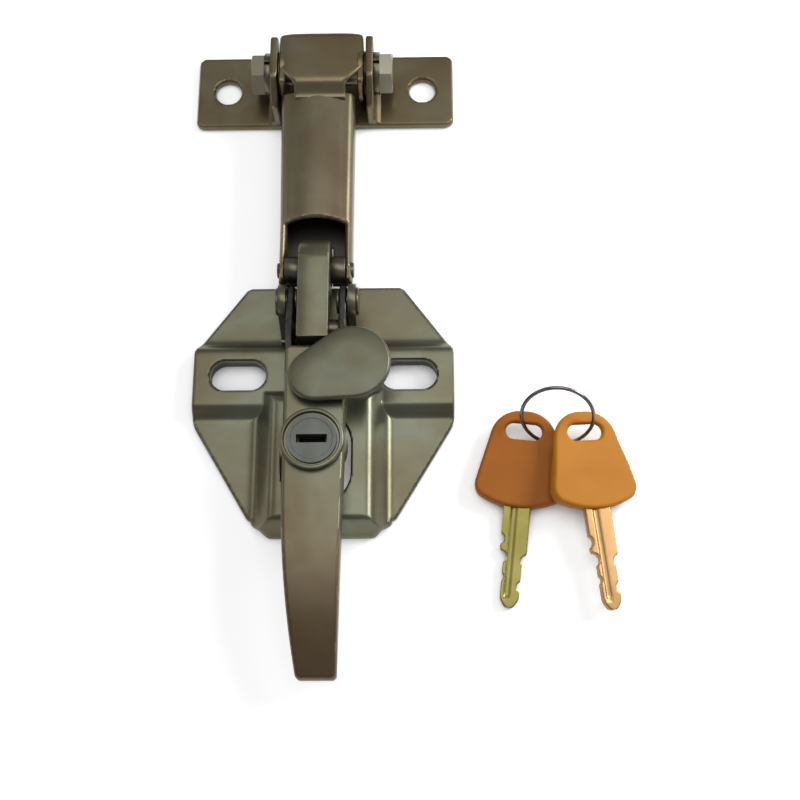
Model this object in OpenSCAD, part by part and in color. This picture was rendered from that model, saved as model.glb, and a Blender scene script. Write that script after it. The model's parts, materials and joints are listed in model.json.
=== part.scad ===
// Over-centre draw latch with a key lock, its keeper and its two keys.
// Millimetres. Z up out of the mounting plane, Y toward the keeper, X to the right.
// The pieces are drawn about the midpoint between the two oblong slots, on the mounting plane,
// and then moved so that the origin lies on that plane under the handle's pivot.

/* [Base plate] */
// Thickness of the plate's sheet
plate_t = 2.5; // [2:0.1:3.5]
// Half width of the plate
plate_half_w = 42; // [38:0.5:50]
// Half length of the plate's top edge
plate_top_half = 25.5; // [22:0.5:30]
// Y of the plate's top edge
plate_top_y = 32; // [30:0.5:36]
// Y of the upper end of the plate's sides
plate_side_hi = 9.5; // [6:0.5:12]
// Y of the lower end of the plate's sides
plate_side_lo = -15.5; // [-20:0.5:-12]
// Half length of the plate's lower edge
plate_low_half = 23; // [20:0.5:26]
// Y of the plate's lower edge
plate_low_y = -47.5; // [-52:0.5:-44]
// Height that the slotted strip is raised
strip_rise = 3.5; // [2:0.1:4]
// Slope of the pressed walls in degrees
wall_angle = 60; // [52:1:65]
// Distance between the two oblong slots
slot_spacing = 55; // [52:0.5:60]
// Length of an oblong slot
slot_len = 18; // [14:0.5:20]
// Width of an oblong slot
slot_w = 10; // [8.5:0.1:11]

/* [Pan] */
// Height that the pan is raised
pan_rise = 8.5; // [7:0.1:9]
// Half width of the pan's flat top
pan_half_w = 15.8; // [15:0.1:17]
// Y of the pan top's front edge
pan_front = -49; // [-51:0.5:-47]
// Y of the pan top's back edge
pan_back = -9; // [-10:0.5:-8]
// Run of the pan's steep front wall
pan_lip = 4; // [3:0.1:5]

/* [Pivots] */
// X of the latch's centre line from the middle of the plate
line_x = -1.5; // [-2:0.1:0]
// Y of the handle's pivot
pivot_y = 21.5; // [21:0.1:22]
// Z of the handle's pivot
pivot_z = 15; // [14.5:0.1:16]
// Distance from the handle's pivot down to the hook pin
hook_drop = 1.2; // [0.8:0.1:1.6]
// Crank of the hook pin along the latch
hook_crank = 9; // [8.5:0.1:9.5]
// Distance from the handle's pivot to the strap pin along the latch
strap_ahead = 11.5; // [11.5:0.1:12.5]
// Radius of the hook pin and of the pivot rivets
pin_r = 3; // [2.6:0.1:3.2]
// Radius of the strap pin
strap_pin_r = 2.5; // [2:0.1:3]

/* [Handle] */
// Half width of the handle
handle_half_w = 9.4; // [8.8:0.05:11]
// Z of the handle's top face
handle_top = 21; // [20.5:0.1:22]
// Y of the end of the handle's tail
tail_y = -97.5; // [-110:0.5:-85]
// Z of the tail's top at its end
tail_z = 13; // [11:0.5:16]

/* [Lock] */
// X of the lock's axis
lock_x = -0.3; // [-1:0.1:0.5]
// Y of the lock's axis
lock_y = -27; // [-28:0.5:-26]
// Radius of the lock barrel
barrel_r = 7.7; // [7.5:0.1:8]
// Radius of the lock plug
plug_r = 6.4; // [6:0.1:6.6]
// Reach of the cam from the lock's axis
cam_reach = 14.2; // [13.5:0.1:14.5]

/* [Dust cover] */
// X of the cover's pivot
cover_x = -0.6; // [-1.5:0.1:0.5]
// Y of the cover's pivot
cover_y = -9; // [-10:0.1:-8.5]
// Radius of the cover's pivot end
cover_small_r = 8.4; // [7:0.1:9.5]
// Radius of the cover's lock end
cover_big_r = 11.7; // [10.5:0.1:12]
// Distance between the centres of the cover's two ends
cover_len = 11.6; // [10:0.1:13]
// Direction of the swung-out cover in degrees
cover_dir = 19; // [12:1:24]
// X from the cover's pivot to the middle of its small end
cover_off_x = 1.1; // [0:0.1:2]
// Y from the cover's pivot to the middle of its small end
cover_off_y = 1.8; // [0:0.1:2]

/* [Pull arm] */
// Half width of the arm's channel
arm_half_w = 11.8; // [10.5:0.1:14]
// X of the arm's channel from the latch's centre line
arm_x = -0.9; // [-1:0.1:0]
// Thickness of the arm's sheet
arm_t = 2; // [1.6:0.1:2.2]
// Z of the arm's crowned web
arm_top = 19.5; // [19.3:0.1:20]
// How far the arm's head stands out past the channel's wider side
head_over = 1.4; // [0:0.1:2]

/* [Keeper] */
// Y of the keeper bolt
bolt_y = 107.4; // [104:0.2:112]
// Z of the keeper bolt
bolt_z = 13; // [12.9:0.1:14]
// Radius of the keeper bolt
bolt_r = 4; // [3.5:0.1:4.2]
// Distance between the keeper's mounting holes
keeper_spacing = 68; // [64:0.5:72]
// Diameter of a keeper mounting hole
keeper_hole = 9; // [8.4:0.1:10]
// Half length of the keeper's base
keeper_half_w = 44.7; // [43:0.1:48]
// Half depth of the keeper's base
keeper_half_d = 14; // [13:0.5:16]

/* [Keys] */
// Thickness of a key's head
key_head_t = 5; // [4.6:0.1:5]
// Thickness of a key's blade
key_blade_t = 2.2; // [1.8:0.1:2.4]
// Radius of the key ring's wire
ring_wire = 0.6; // [0.5:0.05:0.7]

/* [Fits] */
// Clearance of a running pin in its hole
run_fit = 0.05; // [0.03:0.01:0.08]
// Gap between sliding faces
face_gap = 0.4; // [0.35:0.05:0.5]

/* [Hidden] */
$fn = 64;
eps = 0.05;
bend_shift = plate_t * tan(wall_angle / 2);
strip_run = strip_rise / tan(wall_angle);
strip_hi = 9.4;
strip_lo = -11;
strip_top = plate_t + strip_rise;
pan_top = plate_t + pan_rise;
lip_shift = plate_t * tan(atan(pan_top / pan_lip) / 2);
hook_y = pivot_y - hook_crank;
strap_y = pivot_y + strap_ahead;
lug_r = 5.6;
hook_z = pivot_z - hook_drop;
strap_z = hook_z;
handle_low = pan_top + face_gap;
fork_end = 4.5;
rivet_head_t = 0.9;
rivet_gap = 0.1;
strap_gap = 0.3;
strap_reach = 9.6;
tine_in = handle_half_w - 2.2;
strap_half_w = tine_in - rivet_gap - rivet_head_t - strap_gap + arm_x;
lug_in = handle_half_w + face_gap + 0.05;
lug_t = 2.5;
lug_out = lug_in + lug_t;
rivet_head_r = pin_r + 1.4;
boss_low = pan_top - 4.5;
boss_r = barrel_r + 2.8;
skirt_r = barrel_r + 1.3;
lock_open_r = skirt_r + 1.3;
ring_top = handle_top + 2.5;
ring_r = barrel_r + 2.1;
barrel_top = ring_top - 0.2;
barrel_low = boss_low + 0.5;
cam_top = boss_low - 0.5;
cam_t = 2.5;
cam_w = 9;
plug_low = cam_top;
shank_half = 3;
cover_low = ring_top + 0.3;
cover_t = 2.5;
stud_r = 2.5;
stud_low = handle_low + 0.6;
arm_in = arm_half_w - arm_t;
crown_r = 40;
arm_low = 7.5;
web_end = 49.9;
web_arch = 32;
floor_start = strap_y + strap_reach + 1.4;
tab_in = strap_half_w + 1.2;
floor_t = 1.5;
head_half_w = arm_half_w - arm_x + head_over;
head_in = head_half_w - arm_t;
head_r = 9.5;
side_washer_t = 0.8;
keeper_in = head_half_w + side_washer_t;
keeper_out = keeper_in + lug_t;
spring_t = 2.2;
hex_af = bolt_r * 3.25;
hex_h = bolt_r * 1.1;
key_bar_t = 2.6;
key_lift = 3.4;
key_drop = key_head_t / 2 - key_blade_t / 2 - 0.05;

// Extrudes a (y, z) outline along X, centred.
module along_x(w) {
  translate([-w / 2, 0, 0])
    rotate([90, 0, 90])
      linear_extrude(w)
        children();
}

// Extrudes an (x, z) outline along Y from y0 to y1.
module along_y(y0, y1) {
  translate([0, y1, 0])
    rotate([90, 0, 0])
      linear_extrude(y1 - y0)
        children();
}

// Cylinder along X from x0 to x1 at (y, z).
module rod_x(x0, x1, y, z, r) {
  translate([x0, y, z])
    rotate([0, 90, 0])
      cylinder(r = r, h = x1 - x0);
}

// Flat stadium centred on the origin, long along X.
module stadium(len, w) {
  square([len - w, w], center = true);
  for (s = [-1, 1])
    translate([s * (len - w) / 2, 0])
      circle(d = w);
}

// Raised block with sloped walls and a steep front with cut corners, top at z1, going down to z0.
module sloped_block(half_w, y0, y1, z0, z1, cut) {
  run = (z1 - z0) / tan(wall_angle);
  lip = (z1 - z0) * pan_lip / pan_top;
  intersection() {
    along_y(y0 - lip, y1 + run)
      polygon([[-half_w - run, z0], [half_w + run, z0], [half_w, z1], [-half_w, z1]]);
    along_x(4 * half_w)
      polygon([[y0 - lip, z0], [y1 + run, z0], [y1, z1], [y0, z1]]);
    translate([0, 0, z0])
      linear_extrude(z1 - z0)
        polygon([[-3 * half_w, y1 + run], [3 * half_w, y1 + run], [3 * half_w, y0 + cut],
          [half_w + run, y0 + cut], [half_w + 0.7, y0 - lip], [-half_w - 0.7, y0 - lip],
          [-half_w - run, y0 + cut], [-3 * half_w, y0 + cut]]);
  }
}

module plate_outline() {
  polygon([[plate_top_half, plate_top_y], [plate_half_w, plate_side_hi],
    [plate_half_w, plate_side_lo], [plate_low_half, plate_low_y],
    [-plate_low_half, plate_low_y], [-plate_half_w, plate_side_lo],
    [-plate_half_w, plate_side_hi], [-plate_top_half, plate_top_y]]);
}

// Section of the plate's sheet across the slotted strip.
module strip_section() {
  far = 80;
  polygon([[-far, 0], [strip_lo - strip_run + bend_shift, 0], [strip_lo + bend_shift, strip_rise],
    [strip_hi - bend_shift, strip_rise], [strip_hi + strip_run - bend_shift, 0], [far, 0],
    [far, plate_t], [strip_hi + strip_run, plate_t], [strip_hi, strip_top],
    [strip_lo, strip_top], [strip_lo - strip_run, plate_t], [-far, plate_t]]);
}

module base_plate() {
  color([0.42, 0.40, 0.31])
  difference() {
    union() {
      intersection() {
        linear_extrude(strip_top + 1)
          plate_outline();
        along_x(4 * plate_half_w)
          strip_section();
      }
      sloped_block(pan_half_w, pan_front, pan_back, 0, pan_top, 0.5);
    }
    // the hollow under the pan
    translate([0, 0, -1])
      sloped_block(pan_half_w - bend_shift, pan_front + lip_shift, pan_back - bend_shift,
        0, pan_rise + 1, 1);
    // opening in the pan for the lock
    translate([line_x + lock_x, 0, -1])
      linear_extrude(pan_top + 2) {
        for (y = [lock_y + 2.5, lock_y - 7])
          translate([0, y])
            circle(r = lock_open_r);
        translate([-lock_open_r, lock_y - 7])
          square([2 * lock_open_r, 9.5]);
      }
    // the oblong slots
    for (s = [-1, 1])
      translate([s * slot_spacing / 2, 0, -1])
        linear_extrude(strip_top + 2)
          stadium(slot_len, slot_w);
  }
}

module pivot_bracket() {
  y0 = strip_hi + strip_run + 0.15;
  y1 = pivot_y + 5.5;
  color([0.40, 0.38, 0.30])
  difference() {
    union() {
      translate([-lug_out, y0, plate_t])
        cube([2 * lug_out, y1 - y0, lug_t]);
      for (s = [-1, 1])
        translate([s * (lug_in + lug_t / 2), 0, 0])
          along_x(lug_t) {
            translate([pivot_y, pivot_z])
              circle(r = lug_r);
            polygon([[y0, plate_t], [y1, plate_t], [pivot_y + lug_r, pivot_z],
              [pivot_y - lug_r, pivot_z]]);
          }
    }
    rod_x(-2 * lug_out, 2 * lug_out, pivot_y, pivot_z, pin_r);
  }
}

// Stub rivet through the right lug and the right tine.
module pivot_rivet() {
  rod_x(tine_in - rivet_gap, lug_out, pivot_y, pivot_z, pin_r);
  rod_x(lug_out, lug_out + rivet_head_t, pivot_y, pivot_z, rivet_head_r);
  rod_x(tine_in - rivet_gap - rivet_head_t, tine_in - rivet_gap, pivot_y, pivot_z, pin_r + 1);
}

module pivot_rivet_left() {
  color([0.50, 0.48, 0.40])
  mirror([1, 0, 0])
    pivot_rivet();
}

module pivot_rivet_right() {
  color([0.50, 0.48, 0.40])
  pivot_rivet();
}

// Plan of the handle: straight body, right edge tapering straight, left edge on a curve.
function left_edge(y) = -handle_half_w + 5 * pow(max(0, (lock_y - 12 - y) / (lock_y - 12 - tail_y)), 2);
function right_edge(y) = handle_half_w - 1.8 * max(0, (lock_y - y) / (lock_y - tail_y));
steps = [for (i = [0:12]) lock_y - 8 + (tail_y - lock_y + 8) * i / 12];
function tail_drop(y) = (handle_top - tail_z) * pow(max(0, (-50 - y) / (-50 - tail_y)), 2);

module handle_plan() {
  polygon(concat([[handle_half_w, 40], [-handle_half_w, 40]],
    [for (y = steps) [left_edge(y), y]],
    [for (i = [12:-1:0]) [right_edge(steps[i]), steps[i]]],
    [[right_edge(lock_y), lock_y]]));
}

module handle_side() {
  thick = handle_top - handle_low;
  polygon(concat([[fork_end + 3.5, handle_low], [fork_end + 3.5, handle_top]],
    [for (y = steps) [y, handle_top - tail_drop(y)]],
    [for (i = [12:-1:0]) [steps[i], handle_low
      - (i < 2 ? 0 : tail_drop(steps[i])) + 4.4 * pow(i / 12, 2)]]));
  // the low tines around the pivot and the hook pin
  polygon([[fork_end, handle_low], [fork_end, handle_top], [fork_end + 3.5, handle_top],
    [pivot_y, pivot_z + 5], [pivot_y, pivot_z - 5], [hook_y, hook_z - 5], [fork_end + 2, handle_low]]);
  translate([pivot_y, pivot_z])
    circle(r = 5);
  translate([hook_y, hook_z])
    circle(r = 5);
}

module handle() {
  color([0.44, 0.42, 0.32])
  difference() {
    union() {
      intersection() {
        translate([0, 0, -20])
          linear_extrude(80)
            handle_plan();
        along_x(4 * handle_half_w)
          handle_side();
      }
      // boss beside the lever, with a narrower skirt that goes down into the pan
      translate([lock_x, lock_y, handle_low])
        cylinder(r = boss_r, h = handle_top - 1.5 - handle_low);
      translate([lock_x, lock_y, boss_low])
        cylinder(r = skirt_r, h = handle_low + 1 - boss_low);
      translate([lock_x, lock_y, handle_top - 2])
        cylinder(r = ring_r, h = ring_top - handle_top + 2);
      translate([cover_x, cover_y, handle_top - 1])
        cylinder(r = 4.5, h = ring_top - handle_top + 1);
    }
    // fork slot
    translate([-tine_in, fork_end, -10])
      cube([2 * tine_in, 60, 60]);
    // pivot and hook pin bores
    rod_x(-40, 40, pivot_y, pivot_z, pin_r + run_fit);
    rod_x(-40, 40, hook_y, hook_z, pin_r);
    // lock bore with a groove round the barrel's front
    translate([lock_x, lock_y, boss_low - 1])
      cylinder(r = barrel_r, h = 40);
    translate([lock_x, lock_y, ring_top - 1.2])
      cylinder(r = barrel_r + 0.8, h = 5);
    // grub screw hole from the right side
    rod_x(lock_x + barrel_r - 1, lock_x + 30, lock_y, handle_low + 5, 2);
    // bore and pocket for the cover's stud
    translate([cover_x, cover_y, 0])
      cylinder(r = stud_r + run_fit, h = 40);
    translate([cover_x, cover_y, 0])
      cylinder(r = stud_r + 2.8, h = handle_low + 3.2);
  }
}

module hook_pin() {
  color([0.55, 0.54, 0.48])
  rod_x(-handle_half_w, handle_half_w, hook_y, hook_z, pin_r);
}

module lock_barrel() {
  color([0.35, 0.36, 0.34])
  difference() {
    translate([lock_x, lock_y, barrel_low])
      cylinder(r = barrel_r, h = barrel_top - barrel_low);
    translate([lock_x, lock_y, barrel_low - 1])
      cylinder(r = plug_r + run_fit, h = 40);
    rod_x(lock_x + barrel_r - 0.8, lock_x + 30, lock_y, handle_low + 5, 2);
  }
}

module barrel_screw() {
  color([0.25, 0.25, 0.25])
  difference() {
    rod_x(lock_x + barrel_r - 0.8, lock_x + boss_r - 0.3, lock_y, handle_low + 5, 2);
    translate([lock_x + boss_r - 1.5, lock_y, handle_low + 5])
      rotate([0, 90, 0])
        cylinder(r = 1.1, h = 10, $fn = 6);
  }
}

// Egg-shaped outline between two unequal circles.
module egg() {
  a = acos((cover_small_r - cover_big_r) / cover_len);
  circle(r = cover_small_r);
  translate([cover_len, 0])
    circle(r = cover_big_r);
  polygon([[cover_small_r * cos(a), cover_small_r * sin(a)],
    [cover_small_r * cos(a), -cover_small_r * sin(a)],
    [cover_len + cover_big_r * cos(a), -cover_big_r * sin(a)],
    [cover_len + cover_big_r * cos(a), cover_big_r * sin(a)]]);
}

module dust_cover() {
  color([0.43, 0.41, 0.31])
  difference() {
    translate([cover_x + cover_off_x, cover_y + cover_off_y, cover_low])
      rotate([0, 0, cover_dir])
        linear_extrude(cover_t)
          egg();
    translate([cover_x, cover_y, cover_low - 1])
      cylinder(r = stud_r, h = 2.2);
  }
}

module cover_stud() {
  color([0.50, 0.48, 0.40])
  difference() {
    translate([cover_x, cover_y, stud_low])
      cylinder(r = stud_r, h = cover_low + 1.2 - stud_low);
    translate([cover_x, cover_y, stud_low + 0.6])
      difference() {
        cylinder(r = stud_r + 1, h = 0.8);
        cylinder(r = stud_r - 0.6, h = 0.8);
      }
  }
}

module cover_washer() {
  color([0.45, 0.45, 0.45])
  translate([cover_x, cover_y, stud_low + 1.6])
    difference() {
      cylinder(r = stud_r + 1.9, h = 0.8);
      translate([0, 0, -1])
        cylinder(r = stud_r + 0.3, h = 3);
    }
}

module cover_clip() {
  color([0.3, 0.3, 0.3])
  translate([cover_x, cover_y, stud_low + 0.65])
    difference() {
      cylinder(r = stud_r + 1.8, h = 0.7);
      translate([0, 0, -1])
        cylinder(r = stud_r - 0.55, h = 3);
      translate([-1.2, 0, -1])
        cube([2.4, 10, 3]);
    }
}

module lock_plug() {
  color([0.35, 0.37, 0.35])
  translate([lock_x, lock_y, 0])
    difference() {
      union() {
        translate([0, 0, barrel_low])
          cylinder(r = plug_r, h = barrel_top - 0.1 - barrel_low);
        translate([-shank_half, -shank_half, cam_top - cam_t])
          cube([2 * shank_half, 2 * shank_half, barrel_low - cam_top + cam_t + 1]);
      }
      // keyway
      translate([-4.7, -1.3, barrel_low + 3])
        cube([9.4, 2.6, 40]);
      // cross slots for the tumblers
      for (i = [0:4])
        translate([-4.9, -4.2, barrel_low + 4 + 2 * i])
          cube([9.8, 8.4, 1.2]);
      // screw hole
      translate([0, 0, cam_top - cam_t - 1])
        cylinder(r = 1.5, h = 5);
    }
}

module wafer_tumblers() {
  color([0.75, 0.62, 0.32])
  translate([lock_x, lock_y, 0])
    for (i = [0:4])
      translate([0, 0, barrel_low + 4.1 + 2 * i])
        difference() {
          translate([-4.8, -4.1, 0])
            cube([9.6, 8.2, 1]);
          translate([-3.9, -1.3, -1])
            cube([7.8, 2.6, 3]);
        }
}

module lock_cam() {
  color([0.47, 0.45, 0.37])
  translate([lock_x, lock_y, cam_top - cam_t])
    difference() {
      linear_extrude(cam_t) {
        circle(r = cam_w / 2 + 1);
        translate([-cam_w / 2, -cam_reach + cam_w / 2])
          square([cam_w, cam_reach - cam_w / 2]);
        translate([0, -cam_reach + cam_w / 2])
          circle(d = cam_w);
      }
      translate([-shank_half, -shank_half, -1])
        cube([2 * shank_half, 2 * shank_half, 10]);
    }
}

module cam_washer() {
  color([0.5, 0.5, 0.48])
  translate([lock_x, lock_y, cam_top - cam_t - 0.8])
    difference() {
      cylinder(r = 4.8, h = 0.8);
      translate([0, 0, -1])
        cylinder(r = 1.6, h = 3);
    }
}

module cam_screw() {
  z = cam_top - cam_t - 0.8;
  color([0.55, 0.55, 0.52])
  translate([lock_x, lock_y, 0])
    difference() {
      union() {
        translate([0, 0, z])
          cylinder(r = 1.5, h = 4.2);
        translate([0, 0, z - 1.5])
          cylinder(r = 2.9, h = 1.5);
      }
      translate([-4, -0.4, z - 2])
        cube([8, 0.8, 1.2]);
    }
}

module keeper_bracket() {
  color([0.40, 0.37, 0.29])
  difference() {
    union() {
      translate([-keeper_half_w, bolt_y - keeper_half_d, 0])
        cube([2 * keeper_half_w, 2 * keeper_half_d, plate_t]);
      for (s = [-1, 1])
        translate([s * (keeper_in + lug_t / 2), 0, 0])
          along_x(lug_t)
            polygon([[bolt_y - 13.5, 0], [bolt_y + 11, 0], [bolt_y + 9.5, bolt_z + 5],
              [bolt_y + 7.5, bolt_z + 8], [bolt_y - 6, bolt_z + 8], [bolt_y - 13.5, bolt_z + 1]]);
    }
    rod_x(-2 * keeper_out, 2 * keeper_out, bolt_y, bolt_z, bolt_r + run_fit);
    for (s = [-1, 1])
      translate([s * keeper_spacing / 2, bolt_y, -1])
        cylinder(d = keeper_hole, h = 10);
  }
}

module hexagon_x(x0, x1) {
  translate([x0, bolt_y, bolt_z])
    rotate([0, 90, 0])
      cylinder(d = hex_af / cos(30), h = x1 - x0, $fn = 6);
}

module keeper_bolt() {
  far = keeper_out + spring_t + hex_h;
  color([0.48, 0.46, 0.38])
  union() {
    rod_x(-far + 1, far - 0.3, bolt_y, bolt_z, bolt_r);
    hexagon_x(-far, -keeper_out - spring_t);
  }
}

module keeper_nut() {
  near = keeper_out + spring_t;
  color([0.6, 0.58, 0.5])
  difference() {
    hexagon_x(near, near + hex_h);
    rod_x(0, 60, bolt_y, bolt_z, bolt_r);
  }
}

module ring_x(x0, x1, r_out, r_in) {
  difference() {
    rod_x(x0, x1, bolt_y, bolt_z, r_out);
    rod_x(x0 - 1, x1 + 1, bolt_y, bolt_z, r_in);
  }
}

module spring_washers() {
  color([0.5, 0.5, 0.46])
  for (s = [-1, 1])
    difference() {
      ring_x(s * (keeper_out + spring_t / 2) - spring_t / 2,
        s * (keeper_out + spring_t / 2) + spring_t / 2, bolt_r + 3.2, bolt_r + 0.1);
      translate([s * (keeper_out + spring_t / 2) - 5, bolt_y - 0.5, bolt_z])
        cube([10, 1, 20]);
    }
}

module side_washers() {
  color([0.5, 0.5, 0.46])
  for (s = [-1, 1])
    ring_x(s * (head_half_w + side_washer_t / 2) - side_washer_t / 2 + 0.1,
      s * (head_half_w + side_washer_t / 2) + side_washer_t / 2 - 0.1, bolt_r + 3.5, bolt_r + 0.1);
}

// Section of the channel: side walls and a crowned web.
module channel_section(half, top, low) {
  intersection() {
    translate([-half, low])
      square([2 * half, 60]);
    translate([0, top - crown_r])
      circle(r = crown_r, $fn = 160);
  }
}

// Side outline of the arm's head, r about the bolt.
module head_side(r, top, y0) {
  translate([bolt_y, bolt_z])
    circle(r = r);
  polygon([[y0, arm_low], [y0, arm_top - 2], [y0 + 4.5, top], [bolt_y + r - 1.5, top],
    [bolt_y + r + 0.5, top - 1.8], [bolt_y + r + 0.5, bolt_z + 3], [bolt_y + r * cos(10), bolt_z - r * sin(10)],
    [bolt_y, bolt_z - r], [bolt_y - 7, arm_low]]);
}

module pull_arm() {
  step_y = bolt_y - 12.5;
  cap = bolt_z + head_r;
  color([0.41, 0.39, 0.30])
  difference() {
    union() {
      difference() {
        union() {
          translate([arm_x, 0, 0]) {
            along_y(strap_y, step_y + 1)
              channel_section(arm_half_w, arm_top, arm_low);
            intersection() {
              along_y(0, step_y)
                channel_section(arm_half_w, arm_top, 0);
              rod_x(-60, 60, strap_y, strap_z, 5.2);
            }
            along_x(2 * arm_half_w)
              head_side(head_r, cap, step_y);
          }
          intersection() {
            along_x(2 * head_half_w)
              head_side(head_r, cap, step_y);
            translate([-60, step_y + 5, -60])
              cube(120);
          }
        }
        translate([arm_x, 0, 0]) {
          along_y(-10, step_y + 2)
            channel_section(arm_in, arm_top - arm_t, -20);
          along_x(2 * arm_in)
            head_side(head_r - arm_t, cap - arm_t, step_y + 1);
          translate([-arm_in, step_y - 1, -20])
            cube([2 * arm_in, 60, bolt_z + 22]);
        }
        intersection() {
          along_x(2 * head_in)
            head_side(head_r - arm_t, cap - arm_t, step_y + 7);
          translate([-60, step_y + 7, -60])
            cube(120);
        }
        translate([-head_in, step_y + 7, -20])
          cube([2 * head_in, 60, bolt_z + 20]);
      }
      // the channel's closed back
      translate([arm_x - arm_half_w, floor_start, arm_low - floor_t + 0.1])
        cube([2 * arm_half_w, step_y - 4 - floor_start, floor_t]);
      for (s = [-1, 1])
        translate([arm_x + (s > 0 ? tab_in : -arm_half_w), strap_y - 2.5, arm_low - floor_t + 0.1])
          cube([arm_half_w - tab_in, floor_start - strap_y + 3, floor_t]);
    }
    // the web ends in an arch short of the strap pin
    translate([arm_x, 0, arm_low + 1]) {
      intersection() {
        translate([0, web_end - web_arch, 0])
          cylinder(r = web_arch, h = 60);
        translate([-arm_in, 0, 0])
          cube([2 * arm_in, 80, 60]);
      }
    }
    rod_x(-60, 60, strap_y, strap_z, strap_pin_r);
    rod_x(-60, 60, bolt_y, bolt_z, bolt_r + run_fit);
  }
}

module strap_pin() {
  color([0.52, 0.5, 0.42])
  rod_x(arm_x - arm_half_w - 0.6, arm_x + arm_half_w + 0.6, strap_y, strap_z, strap_pin_r);
}

module strap_spacers() {
  gap = 0.2;
  color([0.58, 0.57, 0.5])
  translate([arm_x, 0, 0])
    for (s = [-1, 1])
      difference() {
        rod_x(s > 0 ? strap_half_w + gap : -arm_in + 0.05,
          s > 0 ? arm_in - 0.05 : -strap_half_w - gap, strap_y, strap_z, 4.5);
        rod_x(-40, 40, strap_y, strap_z, strap_pin_r);
      }
}

module hook_strap() {
  nose = fork_end + 1.7;
  bar_low = hook_z + pin_r + 0.3;
  bar_top = strap_z + strap_reach;
  color([0.45, 0.43, 0.34])
  translate([arm_x, 0, 0])
    along_x(2 * strap_half_w)
      difference() {
        union() {
          intersection() {
            translate([strap_y, strap_z])
              circle(r = strap_reach);
            translate([0, strap_z - 6])
              square([80, 60]);
          }
          translate([nose, bar_low])
            square([strap_y - nose, bar_top - bar_low]);
          translate([nose, hook_z - 2])
            square([hook_y - pin_r - 0.3 - nose, bar_top - hook_z + 2]);
        }
        translate([strap_y, strap_z])
          circle(r = strap_pin_r + run_fit);
      }
}

// One key lying along Y, head's lower end at the origin, blade toward -Y, on z = 0.
key_low_r = 5;
key_top_r = 9.5;
key_low = [9, 7.2];
key_top = [1, 23];
// Direction of the tangent that joins the lower and the upper corner circles.
key_lean = atan2(key_top[1] - key_low[1], key_top[0] - key_low[0])
  - acos((key_low_r - key_top_r) / norm(key_top - key_low));
module key_head_plan() {
  a = key_low + key_low_r * [cos(key_lean), sin(key_lean)];
  b = key_top + key_top_r * [cos(key_lean), sin(key_lean)];
  for (s = [-1, 1]) {
    translate([s * key_low[0], key_low[1]])
      circle(r = key_low_r);
    translate([s * key_top[0], key_top[1]])
      circle(r = key_top_r);
  }
  polygon([[a[0], a[1]], [b[0], b[1]], [key_top[0], key_top[1] + key_top_r],
    [-key_top[0], key_top[1] + key_top_r], [-b[0], b[1]], [-a[0], a[1]],
    [-key_low[0], key_low[1] - key_low_r], [key_low[0], key_low[1] - key_low_r]]);
}

module one_key_head() {
  difference() {
    linear_extrude(key_head_t)
      key_head_plan();
    // thin end with the slot for the ring
    for (z = [-5, key_head_t / 2 + key_bar_t / 2])
      translate([-20, 21.5, z])
        cube([40, 20, 5 + key_head_t / 2 - key_bar_t / 2]);
    translate([0, 25.7, -1])
      linear_extrude(20)
        stadium(11.5, 5.2);
    translate([-key_neck, 0, key_head_t / 2 - key_blade_t / 2])
      cube([2 * key_neck, 13, key_blade_t]);
  }
}

key_neck = 4.2;
key_stem = 2.7;
module one_key_blade() {
  translate([0, 0, key_head_t / 2 - key_blade_t / 2])
    linear_extrude(key_blade_t)
      polygon([[-key_neck, 13], [-key_neck, -6], [-key_neck + 1, -7.5], [-key_neck + 1, -10.5],
        [-key_neck, -12], [-key_stem, -14.5], [-key_stem, -18], [-key_stem + 0.7, -19.5],
        [-key_stem, -21], [-key_stem, -27.5], [-1.2, -30], [1.2, -30], [key_stem, -28],
        [key_stem, -24], [key_stem - 0.8, -22.5], [key_stem, -21], [key_stem, -16],
        [key_neck, -13.5], [key_neck, 13]]);
}

// Lifts a key's head a little about the tip of its blade.
module key_rise() {
  translate([0, -30, 0])
    rotate([key_lift, 0, 0])
      translate([0, 30, 0])
        children();
}

module key_place_1() {
  translate([60.95, -44.75, -key_drop])
    rotate([0, 0, -6.5])
      key_rise()
        children();
}

module key_place_2() {
  translate([83.8, -46.35, -key_drop])
    rotate([0, 0, 7.5])
      translate([14, 0, 0])
        rotate([0, 15, 0])
          translate([-14, 0, 0])
            key_rise()
              children();
}

module key_head_1() {
  color([0.80, 0.48, 0.15])
  key_place_1()
    one_key_head();
}

module key_blade_1() {
  color([0.68, 0.64, 0.32])
  key_place_1()
    one_key_blade();
}

module key_head_2() {
  color([0.80, 0.48, 0.15])
  key_place_2()
    one_key_head();
}

module key_blade_2() {
  color([0.85, 0.68, 0.45])
  key_place_2()
    one_key_blade();
}

// Ring through the slots of both heads.
ring_r_mean = 11.24;
ring_pos = [73.98, -16.38, 12.07 - key_drop];
ring_turn = [0, 58.1, -97.7];
module key_ring() {
  color([0.45, 0.43, 0.43])
  translate(ring_pos)
    rotate(ring_turn)
      rotate_extrude($fn = 96)
        translate([ring_r_mean, 0])
          circle(r = ring_wire, $fn = 24);
}

// Moves a piece so that the handle's pivot stands over the origin.
module home() {
  translate([0, -pivot_y, 0])
    children();
}

// The same for the pieces that lie on the latch's centre line.
module line() {
  translate([line_x, 0, 0])
    home()
      children();
}

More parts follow.
